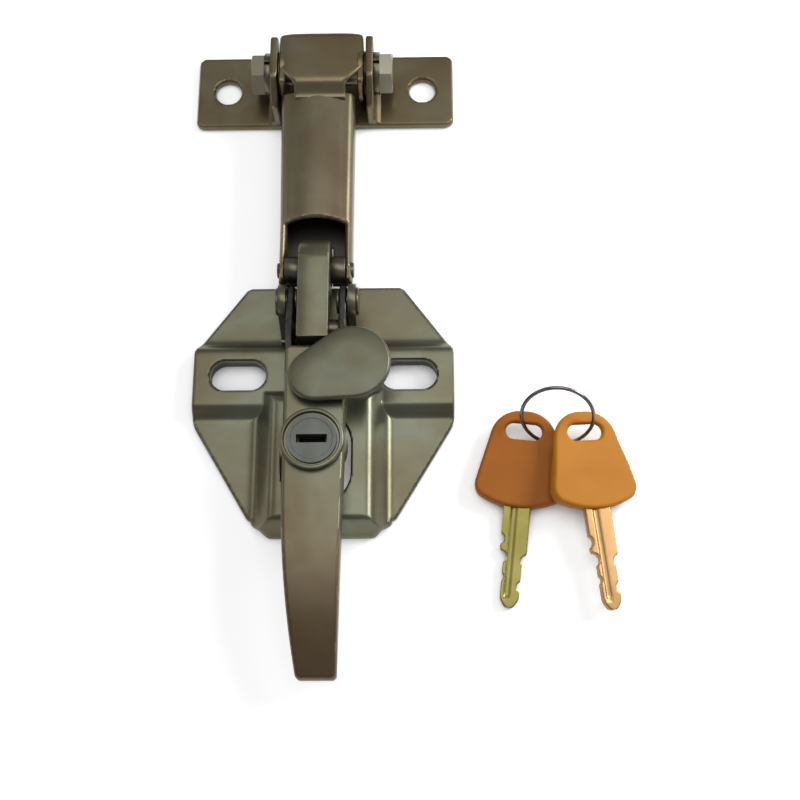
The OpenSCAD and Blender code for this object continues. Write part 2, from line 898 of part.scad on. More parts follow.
home() base_plate();
line() pivot_bracket();
line() pivot_rivet_left();
line() pivot_rivet_right();
line() handle();
line() hook_pin();
line() lock_barrel();
line() barrel_screw();
line() dust_cover();
line() cover_stud();
line() cover_washer();
line() cover_clip();
line() lock_plug();
line() wafer_tumblers();
line() lock_cam();
line() cam_washer();
line() cam_screw();
line() keeper_bracket();
line() keeper_bolt();
line() keeper_nut();
line() spring_washers();
line() side_washers();
line() pull_arm();
line() strap_pin();
line() strap_spacers();
line() hook_strap();
home() key_head_1();
home() key_blade_1();
home() key_head_2();
home() key_blade_2();
home() key_ring();
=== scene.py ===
# %% [markdown]
# This notebook draws an over-centre draw latch with a key lock, its keeper and its keys.
# The exact solids come in first as a frame: every piece made here rides on one of its bodies.
# Lengths are written in millimetres from the middle of the two slots. One place, where a mesh is
# made, turns them into metres and moves them so that the handle's pivot stands over the origin.
# The moving parts lie on a centre line a little left of the plate's middle, LINE, and the arm on ARM.

import json
import math

import bpy
import numpy as np
from mathutils import Matrix


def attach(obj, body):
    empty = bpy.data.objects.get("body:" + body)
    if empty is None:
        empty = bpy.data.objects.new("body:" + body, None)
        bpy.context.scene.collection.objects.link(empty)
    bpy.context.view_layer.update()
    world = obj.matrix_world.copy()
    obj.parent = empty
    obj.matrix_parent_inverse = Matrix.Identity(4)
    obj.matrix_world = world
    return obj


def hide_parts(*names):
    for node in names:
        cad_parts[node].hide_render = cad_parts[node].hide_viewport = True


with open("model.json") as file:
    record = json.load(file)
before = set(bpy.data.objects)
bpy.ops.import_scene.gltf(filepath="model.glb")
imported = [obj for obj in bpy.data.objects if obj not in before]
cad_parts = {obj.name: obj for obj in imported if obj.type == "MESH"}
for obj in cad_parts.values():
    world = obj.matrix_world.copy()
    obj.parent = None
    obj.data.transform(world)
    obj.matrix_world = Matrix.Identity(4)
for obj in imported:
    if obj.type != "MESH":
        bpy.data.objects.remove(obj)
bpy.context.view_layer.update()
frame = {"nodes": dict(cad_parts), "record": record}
nodes = frame["nodes"]
scene = bpy.context.scene
MM = 0.001
HOME = np.array([0.0, -21.5, 0.0])
LINE = -1.5
ARM = LINE - 0.9
SIDES = ((-1, "left"), (1, "right"))
print("nodes:", len(nodes))

# %% [markdown]
# Most of the latch is pressed sheet, so one tool makes nearly all of it: a flat grid is trimmed
# to an outline, given two faces, rounded at its edge and then bent by a formula.
# The outline is a signed distance: negative inside, zero on the edge, positive outside.
# Booleans could cut the same holes, but a distance also says where to round the edge.

# %% distances


def circle(a, b, ca, cb, r):
    """Distance to a circle: length from the centre, less the radius."""
    return np.hypot(a - ca, b - cb) - r


def block(a, b, a0, a1, b0, b1, r=0.0):
    """Distance to a rectangle with corners of radius r: the usual two-axis distance, less r."""
    da = np.abs(a - (a0 + a1) / 2) - (a1 - a0) / 2 + r
    db = np.abs(b - (b0 + b1) / 2) - (b1 - b0) / 2 + r
    return np.hypot(np.maximum(da, 0), np.maximum(db, 0)) + np.minimum(np.maximum(da, db), 0) - r


def convex(a, b, points, r=0.0):
    """Distance to a convex outline given anticlockwise: the largest distance past any side."""
    p = np.array(points, float)
    q = np.roll(p, -1, axis=0)
    t = (q - p) / np.linalg.norm(q - p, axis=1)[:, None]
    far = np.array([(a - x) * ty - (b - y) * tx + r for (x, y), (tx, ty) in zip(p, t)])
    worst = far.max(axis=0)
    second = np.sort(far, axis=0)[-2]
    corner = np.hypot(np.maximum(worst, 0), np.maximum(second, 0))
    return np.where(second > 0, corner, worst) - r


def egg(a, b, r0, r1, length):
    """Distance to two circles joined by their tangents, the first at the origin."""
    k = (r0 - r1) / length
    h = np.sqrt(1 - k * k)
    v = np.abs(b)
    side = a * k + v * h - r0
    along = a * h - v * k
    first = np.hypot(a, v) - r0
    last = np.hypot(a - length, v) - r1
    return np.where(along < 0, first, np.where(along > length * h, last, side))


def overlap(one, two, r):
    """What lies inside both outlines, with the corner where they meet rounded by r."""
    near = np.hypot(np.maximum(one + r, 0), np.maximum(two + r, 0)) - r
    return np.where((one > -r) & (two > -r), near, np.maximum(one, two))


def ramp(d, run, soft):
    """Rises from 0 to 1 as d goes from 0 to run, with both corners rounded over about soft."""
    up = np.logaddexp(0, d / soft) - np.logaddexp(0, (d - run) / soft)
    return up * soft / run


def level(height):
    """A face at one height all over its grid."""
    return lambda a, b: height + 0 * a


# %% [markdown]
# Every mesh goes through one door. It turns millimetres into metres, measures the signed volume to
# see whether the faces point outwards, and says which body the piece rides on and which solid it
# stands for. Edges sharper than a limit stay crisp, and all the rest is shaded smooth.

# %% mesh maker
SHARP = math.radians(38)


def make(name, verts, quads, caps, body, node, material):
    """Makes a mesh object from arrays in millimetres, outward and smooth, riding on a body."""
    v = (np.asarray(verts, float) + HOME) * MM
    p = v[quads]
    volume = np.einsum("ij,ij->", p[:, 0], np.cross(p[:, 1], p[:, 2]) + np.cross(p[:, 2], p[:, 3]))
    caps = [list(map(int, c)) for c in caps]
    if volume < 0:
        quads = quads[:, ::-1]
        caps = [c[::-1] for c in caps]
    mesh = bpy.data.meshes.new(name)
    mesh.from_pydata(v.tolist(), [], quads.tolist() + caps)
    mesh.shade_smooth()
    mesh.set_sharp_from_angle(angle=SHARP)
    obj = bpy.data.objects.new(name, mesh)
    scene.collection.objects.link(obj)
    obj.data.materials.append(material)
    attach(obj, body)
    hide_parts(node)
    print(name, len(v), "points", len(quads), "quads")


# %% [markdown]
# The grid tool keeps each cell whose middle is inside the outline. The outermost points then slide
# down the distance's slope until they lie on the outline, so a coarse grid still has a clean edge.
# Walls between the two faces close the mesh.

# %% sheet tool
TINY = 1e-3


def trimmed(region, box, step):
    """Grid points, the cells that are kept, and the points on their rim, moved onto the outline."""
    a0, a1, b0, b1 = box
    count = [max(2, int(round(n / step))) + 1 for n in (a1 - a0, b1 - b0)]
    a, b = np.meshgrid(np.linspace(a0, a1, count[0]), np.linspace(b0, b1, count[1]), indexing="ij")
    keep = region((a[:-1, :-1] + a[1:, 1:]) / 2, (b[:-1, :-1] + b[1:, 1:]) / 2) < 0
    pad = np.pad(keep, 1).astype(int)
    around = pad[:-1, :-1] + pad[1:, :-1] + pad[:-1, 1:] + pad[1:, 1:]
    used = around > 0
    rim = used & (around < 4)
    for _ in range(4):
        ga = (region(a + TINY, b) - region(a - TINY, b)) / (2 * TINY)
        gb = (region(a, b + TINY) - region(a, b - TINY)) / (2 * TINY)
        slope = np.maximum(ga * ga + gb * gb, 0.2)
        go = np.clip(region(a, b), -1.5 * step, 1.5 * step)
        a = np.where(rim, a - go * ga / slope, a)
        b = np.where(rim, b - go * gb / slope, b)
    return a, b, keep, pad, used, rim


def sheet(name, region, box, step, shape, top, low, edge, body, node, material):
    """A trimmed, edge-rounded plate: heights top and low over a grid, bent into place by shape.

    Near the outline each face falls by edge - sqrt(edge^2 - (edge - d)^2), a quarter circle in d.
    """
    a, b, keep, pad, used, rim = trimmed(region, box, step)
    d = np.where(rim, 0, np.maximum(-region(a, b), 0))
    fall = edge - np.sqrt(np.maximum(edge**2 - np.maximum(edge - d, 0) ** 2, 0))
    upper = np.stack(shape(a, b, top(a, b) - fall), -1)[used]
    lower = np.stack(shape(a, b, low(a, b) + fall), -1)[used]
    m = int(used.sum())
    number = np.full(a.shape, -1)
    number[used] = np.arange(m)
    i, j = np.nonzero(keep)
    face = np.stack([number[i, j], number[i + 1, j], number[i + 1, j + 1], number[i, j + 1]], 1)
    parts = [face, face[:, ::-1] + m]
    # walls along the two grid directions, on either side
    for fore, back, di, dj in ((pad[1:-1, :-1], pad[1:-1, 1:], 1, 0), (pad[1:, 1:-1], pad[:-1, 1:-1], 0, 1)):
        for have, miss, turn in ((fore, back, False), (back, fore, True)):
            i, j = np.nonzero((have == 1) & (miss == 0))
            p, q = number[i, j], number[i + di, j + dj]
            p, q = (q, p) if turn else (p, q)
            parts.append(np.stack([p, q, q + m, p + m], 1))
    make(name, np.concatenate([upper, lower]), np.concatenate(parts), [], body, node, material)


# %% [markdown]
# A turned piece needs no trimming: its profile is swept round an axis. A hexagon is a turned piece
# whose radius is held within six flats, with the corners cut back by a cone.

# %% turning tool


def turned(name, profile, place, body, node, material, hexagon=None, closed=False, n=96):
    """Sweeps (radius, height) points round an axis; place maps (x, y, h) into the latch.

    With hexagon set, each radius is held within flats that far from the axis.
    """
    pr = np.array(profile, float)
    t = np.linspace(0, 2 * np.pi, n, endpoint=False)
    r = np.repeat(pr[:, :1], n, axis=1)
    h = np.repeat(pr[:, 1:], n, axis=1)
    if hexagon:
        flats = hexagon / np.cos((t + np.pi / 6) % (np.pi / 3) - np.pi / 6)
        r = np.minimum(r, flats[None])
        over = np.maximum(r - hexagon * 0.97, 0)
        h = np.where(pr[:, 1:] > 0, h - over * 0.5, h)
    verts = np.stack(place(r * np.cos(t), r * np.sin(t), h), -1).reshape(-1, 3)
    rows = len(pr)
    k, s = np.meshgrid(np.arange(rows if closed else rows - 1), np.arange(n), indexing="ij")
    k, s = k.ravel(), s.ravel()
    k2, s2 = (k + 1) % rows, (s + 1) % n
    quads = np.stack([k * n + s, k * n + s2, k2 * n + s2, k2 * n + s], 1)
    caps = [] if closed else [np.arange(n)[::-1], (rows - 1) * n + np.arange(n)]
    make(name, verts, quads, caps, body, node, material)


# %% [markdown]
# The latch is zinc plated and chromated: a thin clear film that drifts between olive, brown and
# green. Slow noise in object space mixes those tints, and a finer one varies the shine.
# Each material is a small node tree, so nothing depends on a picture file.

# %% material tool
FADE_FROM, FADE_TO = 0.32, 0.68
# where the tail's painted shade starts and where it is full, in metres along Y
DARKEN_FROM, DARKEN_TO = -0.047, -0.105
SHINE_DRIFT = 0.06


def shaded_toward_tail(tree, coords, colour, tail):
    """Multiplies a colour by the tail's painted shade, more and more toward the low end of Y, in metres."""
    split = tree.nodes.new("ShaderNodeSeparateXYZ")
    tree.links.new(coords.outputs["Object"], split.inputs["Vector"])
    reach = tree.nodes.new("ShaderNodeMapRange")
    reach.inputs["From Min"].default_value = DARKEN_FROM
    reach.inputs["From Max"].default_value = DARKEN_TO
    tree.links.new(split.outputs["Y"], reach.inputs["Value"])
    darkened = tree.nodes.new("ShaderNodeMix")
    darkened.data_type = "RGBA"
    darkened.blend_type = "MULTIPLY"
    # a Mix node's colour sockets are numbers 6 and 7, and its colour output is number 2
    darkened.inputs[7].default_value = (*tail, 1)
    tree.links.new(reach.outputs["Result"], darkened.inputs[0])
    tree.links.new(colour, darkened.inputs[6])
    return darkened.outputs[2]


def material(name, slot, tints, rough, metal, spots, grain=0.0, tail=None):
    """A surface whose colour drifts between tints by noise, and whose roughness drifts a little.

    With tail set, the colour is multiplied by that tint toward the low end of Y: painted shade, the
    dark reflection that the handle's falling tail shows.
    """
    mat = bpy.data.materials.new(name)
    mat["slot"] = slot
    mat.use_nodes = True
    tree = mat.node_tree
    shader = tree.nodes["Principled BSDF"]
    shader.inputs["Metallic"].default_value = metal
    coords = tree.nodes.new("ShaderNodeTexCoord")
    noise = tree.nodes.new("ShaderNodeTexNoise")
    noise.inputs["Scale"].default_value = spots
    noise.inputs["Detail"].default_value = 4.0
    noise.inputs["Distortion"].default_value = 0.6
    tree.links.new(coords.outputs["Object"], noise.inputs["Vector"])
    mix = tree.nodes.new("ShaderNodeValToRGB")
    stops = mix.color_ramp.elements
    stops[0].position, stops[1].position = FADE_FROM, FADE_TO
    stops[0].color, stops[1].color = (*tints[0], 1), (*tints[-1], 1)
    for i, tint in enumerate(tints[1:-1]):
        stop = stops.new(FADE_FROM + (FADE_TO - FADE_FROM) * (i + 1) / (len(tints) - 1))
        stop.color = (*tint, 1)
    tree.links.new(noise.outputs["Fac"], mix.inputs["Fac"])
    colour = mix.outputs["Color"]
    if tail:
        colour = shaded_toward_tail(tree, coords, colour, tail)
    tree.links.new(colour, shader.inputs["Base Color"])
    fine = tree.nodes.new("ShaderNodeTexNoise")
    fine.inputs["Scale"].default_value = spots * 9
    fine.inputs["Detail"].default_value = 6.0
    tree.links.new(coords.outputs["Object"], fine.inputs["Vector"])
    span = tree.nodes.new("ShaderNodeMapRange")
    span.inputs["To Min"].default_value = rough - SHINE_DRIFT
    span.inputs["To Max"].default_value = rough + SHINE_DRIFT
    tree.links.new(fine.outputs["Fac"], span.inputs["Value"])
    tree.links.new(span.outputs["Result"], shader.inputs["Roughness"])
    if grain:
        bump = tree.nodes.new("ShaderNodeBump")
        bump.inputs["Strength"].default_value = grain
        bump.inputs["Distance"].default_value = 0.0002
        tree.links.new(fine.outputs["Fac"], bump.inputs["Height"])
        tree.links.new(bump.outputs["Normal"], shader.inputs["Normal"])
    return mat


# %% [markdown]
# One finish for each way that the metal shows: bare olive zinc, browner zinc on the arm and the
# keeper, near-black painted shade deep in the fork, on the arm's back and on the slot rims, a darker
# copy of the olive as painted shade on the dust cover, brighter zinc on bolts with a duller copy as
# painted shade on the bolt's head. The handle's tail is darkened brown toward its end: painted shade.
# One finish with the tints painted on each piece would also do, but separate ones are easy to adjust.

# %% finishes of the latch
OLIVE = [(0.125, 0.106, 0.064), (0.138, 0.130, 0.083), (0.155, 0.160, 0.112), (0.145, 0.132, 0.094)]
BROWN = [(0.140, 0.104, 0.054), (0.155, 0.122, 0.066), (0.175, 0.150, 0.092), (0.150, 0.116, 0.070)]
# a darker copy of the olive zinc, used on the dust cover: painted shade
SHADED = [tuple(0.78 * c for c in tint) for tint in OLIVE]
# near-black painted shade for the fork's tines, the arm's back and the slot rims
PAINTED_SHADE = [(0.030, 0.027, 0.024), (0.055, 0.048, 0.038)]
PIN = [(0.11, 0.10, 0.07), (0.17, 0.155, 0.115)]
BOLT_PALE = [(0.26, 0.245, 0.18), (0.38, 0.37, 0.29)]
# a duller copy of the bolt zinc for the head on the left, away from the strong right lamp: painted shade
BOLT_SHADED = [(0.15, 0.135, 0.09), (0.20, 0.19, 0.135)]
# the tail's brown darkening is painted shade, the dark reflection where the handle's tail falls away
TAIL_SHADE = (0.80, 0.54, 0.42)
zinc = material("zinc", "zinc_plate", OLIVE, 0.34, 0.8, 28, 0.08)
# the handle's zinc, darkened toward the tail by painted shade
lever_shaded_zinc = material("lever zinc", "zinc_plate", OLIVE, 0.36, 0.8, 28, 0.08, TAIL_SHADE)
# the dust cover's darker copy of the olive zinc is painted shade
shaded_cover_zinc = material("shaded cover zinc", "zinc_plate", SHADED, 0.38, 0.8, 28, 0.08)
# the near-black finish is painted shade, not grease
shade_zinc = material("painted shade zinc", "zinc_plate", PAINTED_SHADE, 0.42, 0.7, 40)
brown_zinc = material("brown zinc", "zinc_plate", BROWN, 0.34, 0.8, 28, 0.08)
pin_zinc = material("pin zinc", "pin_steel", PIN, 0.34, 0.9, 60)
bolt_zinc = material("bolt zinc", "bolt_zinc", BOLT_PALE, 0.30, 0.9, 20)
# the bolt head's duller finish is painted shade
shaded_head_zinc = material("shaded bolt head zinc", "bolt_zinc", BOLT_SHADED, 0.36, 0.85, 20)
print("bolt head's slot:", shaded_head_zinc["slot"])

# %% [markdown]
# The lock's face is a greyer die casting, and its inside is dark. The keys are a moulded plastic with
# little gloss, so that reflections don't wash its colour out, on one yellow and one coppery blade.

# %% finishes of lock and keys
LOCK_FACE = [(0.085, 0.09, 0.08), (0.12, 0.125, 0.11)]
lock_grey = material("lock grey", "lock_metal", LOCK_FACE, 0.42, 0.6, 90)
dark = material("dark steel", "dark_steel", [(0.02, 0.02, 0.02), (0.04, 0.04, 0.04)], 0.5, 0.8, 80)
wafer = material("wafer brass", "wafer_brass", [(0.06, 0.045, 0.02), (0.10, 0.075, 0.03)], 0.5, 0.8, 90)
ORANGE = [(0.47, 0.170, 0.008), (0.53, 0.205, 0.012)]
# a darker copy of the orange for the first key, which lies lower, under the second: painted shade
ORANGE_SHADED = [(0.33, 0.095, 0.005), (0.38, 0.118, 0.008)]
orange = material("orange plastic", "key_plastic", ORANGE, 0.55, 0.0, 40, 0.05)
orange_shaded = material("shaded orange plastic", "key_plastic", ORANGE_SHADED, 0.55, 0.0, 40, 0.05)
for plastic in (orange, orange_shaded):
    plastic.node_tree.nodes["Principled BSDF"].inputs["Specular IOR Level"].default_value = 0.25
BRASS = [(0.20, 0.172, 0.042), (0.27, 0.235, 0.072)]
COPPER = [(0.36, 0.205, 0.080), (0.43, 0.26, 0.115)]
brass = material("key brass", "key_brass", BRASS, 0.34, 0.85, 45)
copper = material("key copper brass", "key_brass", COPPER, 0.36, 0.85, 45)
wire = material("ring steel", "ring_steel", [(0.16, 0.15, 0.15), (0.24, 0.22, 0.22)], 0.25, 1.0, 80)
print("materials:", len(bpy.data.materials))

# %% [markdown]
# Base plate: one pressed sheet. Its height is a formula: a strip and a pan rise from the flange on
# ramps whose corners are rounded, as a press leaves them. A subdivided box would also do, but the
# formula keeps the bends, slots and flange exactly where the solids have them.

# %% base plate
LOCK = (-0.3, -27.0)
OCTAGON = [(25.5, 32), (-25.5, 32), (-42, 9.5), (-42, -15.5),
           (-23, -47.5), (23, -47.5), (42, -15.5), (42, 9.5)]
PAN = [(22.1, -20), (-22.1, -20), (-22.1, -48.5), (-16.5, -52.9), (16.5, -52.9), (22.1, -48.5)]
# how far the lock's opening reaches left, right, to the front and to the rear of the lock's axis
OPENING = (10.3, 11.3, 17.3, 12.8)
SLOT_IN, SLOT_OUT, SLOT_HALF = 18.5, 36.5, 5.0
# a round end's radius is this much less than half the width
HAIR = 0.01


def slot(x, y, grown):
    """Distance to the right slot, a round-ended block that is larger all round by grown."""
    half = SLOT_HALF + grown
    return block(x, y, SLOT_IN - grown, SLOT_OUT + grown, -half, half, half - HAIR)


def plate_region(x, y):
    """The octagon and the pan's front, less the slots and the lock's opening."""
    solid = np.minimum(convex(x, y, OCTAGON, 1.2), convex(x, y, PAN, 0.6))
    mid = LINE + LOCK[0]
    left, right, front, rear = OPENING
    end_r = (left + right) / 2 - HAIR
    hole = block(x, y, mid - left, mid + right, LOCK[1] - front, LOCK[1] + rear, end_r)
    return np.maximum(solid, -np.minimum(hole, slot(np.abs(x), y, 0)))


# %% base plate's height
PLATE_T = 2.5
STRIP_MID, STRIP_HALF, STRIP_RISE, STRIP_RUN = -0.8, 10.2, 3.5, 2.02
PAN_HALF, PAN_FRONT, PAN_REAR, PAN_RISE = 15.8, -49.0, -9.0, 8.5
PAN_RUN, FRONT_RUN = 4.91, 3.09


def plate_rise(x, y):
    """Height of the sheet's underside: strip and pan ramps, whichever is higher."""
    strip = STRIP_RISE * (1 - ramp(np.abs(y - STRIP_MID) - STRIP_HALF, STRIP_RUN, 0.6))
    side = ramp(np.abs(x) - PAN_HALF, PAN_RUN, 0.8)
    front = ramp(PAN_FRONT - y, FRONT_RUN, 0.55)
    rear = ramp(y - PAN_REAR, PAN_RUN, 0.7)
    pan = PAN_RISE * (1 - np.maximum(np.maximum(side, front), rear))
    return np.maximum(np.maximum(strip, pan), 0)


def plate_top(x, y):
    """The underside's height, plus the sheet's thickness."""
    return plate_rise(x, y) + PLATE_T


sheet("base_plate_sheet", plate_region, (-43, 43, -54, 33), 0.45, lambda x, y, h: (x, y, h),
      plate_top, plate_rise, 0.7, "base", "base_plate", zinc)

# %% [markdown]
# Slot rims: the press turns the slots' edges down toward the panel, which makes their walls look deep
# from above, and their near-black tint is painted shade. The plate's formula has one height at each
# point, so it can't hold an upright wall. Each rim is a piece of its own: the slot's outline grown a
# little, less the slot.

# %% slot rims
RIM_WIDTH, RIM_GAP, RIM_TOP, RIM_LOW = 1.2, 0.04, 4.6, 0.3


def rim_region(x, y):
    """The slot grown by the rim's width, less the slot grown by a small gap."""
    return np.maximum(slot(x, y, RIM_WIDTH), -slot(x, y, RIM_GAP))


for side, word in SIDES:
    sheet(f"slot_rim_{word}", rim_region, (17, 38, -6.5, 6.5), 0.4, lambda x, y, h: (side * x, y, h),
          level(RIM_TOP), level(RIM_LOW), 0.15, "base", "base_plate", shade_zinc)

# %% [markdown]
# Handle: a lever with a flat top, a tail that arches down to the panel, and a fork for the hook pin.
# Its plan is an outline between two edges, straight on the right and curved on the left, and its
# faces are two height formulas. A box pulled into shape by hand could look the same, but here each
# curve starts at a length along the lever that can be read off and changed.

# %% handle lever
TAIL, FRONT, TOP, UNDER, HALF_WIDTH = -97.5, 8.0, 21.0, 11.4, 9.4
LEFT_IN, RIGHT_IN, TAIL_DROP, TAIL_THINS, TAIL_CROWN = 5.0, 1.8, 8.0, 4.4, 0.5
LOCK_BORE, FORK_IN, FORK_ROOT = 8.0, 7.2, 4.5


def tail_part(y, start):
    """0 before start, rising evenly to 1 at the tail's end."""
    return np.clip((start - y) / (start - TAIL), 0, 1)


def handle_region(x, y):
    """Plan of the lever, less the lock bore and the fork slot."""
    left = -HALF_WIDTH + LEFT_IN * tail_part(y, -39) ** 2
    right = HALF_WIDTH - RIGHT_IN * tail_part(y, -27)
    body = overlap(np.maximum(left - x, x - right), np.maximum(TAIL - y, y - FRONT), 1.5)
    fork = block(x, y, -FORK_IN, FORK_IN, FORK_ROOT, 40)
    return np.maximum(body, -np.minimum(fork, circle(x, y, *LOCK, LOCK_BORE)))


def handle_top(x, y):
    """Flat, with the tail falling on a parabola and a slight crown across it."""
    return TOP - TAIL_DROP * tail_part(y, -50) ** 2 - TAIL_CROWN * (x / 10) ** 2 * tail_part(y, -36)


def handle_low(x, y):
    """Follows the top's fall, and rises toward it so that the tail grows thinner."""
    return UNDER - TAIL_DROP * tail_part(y, -50) ** 2 + TAIL_THINS * tail_part(y, -35) ** 2


def on_line(x, y, h):
    """Lays a piece flat on the latch's centre line."""
    return x + LINE, y, h


sheet("handle_lever", handle_region, (-10.5, 10.5, -98.5, 9), 0.4, on_line, handle_top, handle_low,
      1.1, "handle", "handle", lever_shaded_zinc)

# %% [markdown]
# Lock seat: a raised ring round the lock's face, a boss that goes down into the pan, and the small
# pad that the dust cover turns on. They are round on the real casting, so they are turned here.

# %% lock seat
RING = [(8.45, 20), (8.45, 23.1), (8.75, 23.5), (9.3, 23.5), (9.65, 23.3), (9.8, 22.9), (9.8, 20)]
BOSS = [(7.75, 6.5), (7.75, 22.3), (9.0, 22.3), (9.0, 19.5), (10.2, 19.5), (10.5, 19.2), (10.5, 11.8),
        (10.1, 11.4), (9.0, 11.4), (9.0, 6.9), (8.6, 6.5)]
COVER_PAD = [(2.6, 20), (2.6, 23.4), (4.2, 23.4), (4.5, 23.1), (4.5, 20)]
STUD = (-0.6, -9.0)


def at_lock(x, y, h):
    """Moves a piece onto the lock's axis."""
    return x + LINE + LOCK[0], y + LOCK[1], h


def at_stud(x, y, h):
    """Moves a piece onto the axis that the dust cover turns about."""
    return x + LINE + STUD[0], y + STUD[1], h


turned("lock_ring", RING, at_lock, "handle", "handle", zinc, closed=True)
turned("lock_boss", BOSS, at_lock, "handle", "handle", zinc, closed=True)
turned("cover_pad", COVER_PAD, at_stud, "handle", "handle", zinc, closed=True)

# %% [markdown]
# Fork tines: two thin plates in the side plane, joined discs about the pivot and the hook pin.
# The grid lies in (y, z) and its height runs along x, so the same tool serves.

# %% fork tines
PIVOT, HOOK, STRAP, BOLT = (21.5, 15.0), (12.5, 13.8), (33.0, 13.8), (107.4, 13.0)
TINE_WEB = [(3, 11.4), (6.5, 11.4), (12.5, 8.8), (21.5, 10), (21.5, 20), (8, 21), (3, 21)]


def tine_region(y, z):
    """Two discs and the web between them and the lever, less the two bores."""
    discs = np.minimum(circle(y, z, *PIVOT, 5), circle(y, z, *HOOK, 5))
    bores = np.minimum(circle(y, z, *PIVOT, 3.05), circle(y, z, *HOOK, 3.0))
    return np.maximum(np.minimum(convex(y, z, TINE_WEB), discs), -bores)


def upright(side, near):
    """Stands a plate drawn in (y, z) on the side given, near away from the centre line."""
    return lambda y, z, h: (LINE + side * (near + h), y, z)


# the tines carry the near-black painted shade, for the shade that falls deep in the fork
for side, word in SIDES:
    sheet(f"fork_tine_{word}", tine_region, (2.5, 27, 8, 22), 0.4, upright(side, FORK_IN),
          level(2.2), level(0), 0.4, "handle", "handle", shade_zinc)

# %% [markdown]
# Dust cover: an egg-shaped lid, two unequal circles joined by tangents, swung out to the right.
# It is pressed slightly hollow, so its top bulges toward the middle and rolls off at the edge.

# %% dust cover
COVER_TURN, COVER_AT = math.radians(20), (LINE + 0.5, -7.2, 23.8)
SMALL_R, BIG_R, COVER_LONG = 8.4, 11.95, 12.1
COVER_EDGE, COVER_CROWN, CROWN_REACH = 1.9, 0.7, 7.0


def at_cover(u, v, h):
    """Turns the lid about the middle of its small end and lifts it over the lock's ring."""
    c, s = math.cos(COVER_TURN), math.sin(COVER_TURN)
    return COVER_AT[0] + u * c - v * s, COVER_AT[1] + u * s + v * c, COVER_AT[2] + h


def cover_region(u, v):
    """The egg, with the middle of its small end at the origin."""
    return egg(u, v, SMALL_R, BIG_R, COVER_LONG)


def cover_top(u, v):
    """Full height from the crown's reach inwards, falling toward the edge on a parabola."""
    return COVER_EDGE + COVER_CROWN * (1 - np.clip(1 + cover_region(u, v) / CROWN_REACH, 0, 1) ** 2)


sheet("dust_cover_lid", cover_region, (-9, 24, -12.3, 12.3), 0.4, at_cover, cover_top, level(0),
      0.9, "cover", "dust_cover", shaded_cover_zinc)

# %% [markdown]
# Hook strap: a thick bar seen from the side as a J: an eye about the strap pin, a bar, and a lip
# that drops behind the hook pin. It is drawn in the side plane and made ten millimetres wide.

# %% hook strap
STRAP_HALF, STRAP_BORE, EYE_R, EYE_LOW = 5.0, 2.55, 9.6, 7.8
BAR_END, BAR_LOW, BAR_TOP, LIP_BACK, LIP_LOW = 6.2, 17.1, 23.4, 9.2, 11.8


def strap_region(y, z):
    """Eye, bar and lip together, less the pin's bore."""
    eye = np.maximum(circle(y, z, *STRAP, EYE_R), EYE_LOW - z)
    bar = block(y, z, BAR_END, STRAP[0], BAR_LOW, BAR_TOP)
    lip = block(y, z, BAR_END, LIP_BACK, LIP_LOW, BAR_TOP)
    return np.maximum(np.minimum(eye, np.minimum(bar, lip)), -circle(y, z, *STRAP, STRAP_BORE))


sheet("hook_strap_bar", strap_region, (5.5, 43.5, 7, 24), 0.4, lambda y, z, h: (ARM + h, y, z),
      level(STRAP_HALF), level(-STRAP_HALF), 0.6, "hook", "hook_strap", zinc)

# %% [markdown]
# Pull arm: a channel folded from sheet. The grid is the flat blank: one way runs round the section,
# down a wall, over a shoulder and across the crowned web, and the other runs along the arm.
# Bending a blank keeps the sheet's thickness true, where a solid with a hollow can lose it.

# %% arm channel
ARM_W, ARM_TOP, ARM_T, SHOULDER, WEB_CROWN = 11.8, 19.5, 2.0, 3.0, 1.6
SPREAD_FROM, SPREAD_OVER, SPREAD_LEFT, SPREAD_RIGHT = 48.0, 50.0, 1.0, 0.3
ARM_LAST, WALL_LOW, WALL_END_R, PIN_R = 97.0, 7.5, 5.2, 2.5
ARCH_Y, ARCH_R, ARCH_HALF = 17.9, 32.0, 10.5
# widths on the blank past which a point counts as wall, and past which the pin's hole goes through
WALL_FROM, HOLE_FROM = 10.8, 12.3


def arm_shape(s, y, h):
    """Bends the blank: web |s| <= w - r with a crown, then a quarter circle, then a straight wall.

    Toward the keeper the walls spread, more on the left than on the right.
    """
    half = ARM_W - SHOULDER
    bend = SHOULDER * math.pi / 2
    g = np.abs(s)
    out = np.clip(g / half, 0, 1)
    t = np.clip((g - half) / bend, 0, 1) * math.pi / 2
    past = np.maximum(g - half - bend, 0)
    spread = np.clip((y - SPREAD_FROM) / SPREAD_OVER, 0, 1) * np.where(s < 0, SPREAD_LEFT, SPREAD_RIGHT)
    x = np.minimum(g, half) + out * spread + (SHOULDER + h) * np.sin(t)
    z = ARM_TOP - WEB_CROWN * out**2 - SHOULDER + (SHOULDER + h) * np.cos(t) - past
    return ARM + np.sign(s) * x, y + 0 * s, z


def arm_region(s, y):
    """The blank's outline: arch in the web, round wall ends, long edges, and the pin's holes."""
    z = arm_shape(s, y, 0 * s)[2]
    # both stretches of the outline run past the arm's last point, where one straight cut ends them
    past_last = ARM_LAST + 2
    wall = np.minimum(block(y, z, STRAP[0], past_last, WALL_LOW, 40), circle(y, z, *STRAP, WALL_END_R))
    blank = np.where(np.abs(s) > WALL_FROM, wall, np.maximum(STRAP[0] - y, y - past_last))
    arch = np.maximum(circle(s, y, 0, ARCH_Y, ARCH_R), np.abs(s) - ARCH_HALF)
    pin = np.where(np.abs(s) > HOLE_FROM, circle(y, z, *STRAP, PIN_R), 9.0)
    return np.maximum(np.maximum(blank, y - ARM_LAST), -np.minimum(arch, pin))


sheet("arm_channel", arm_region, (-23.4, 23.4, 27, 98), 0.45, arm_shape, level(0), level(-ARM_T),
      0.45, "arm", "pull_arm", brown_zinc)

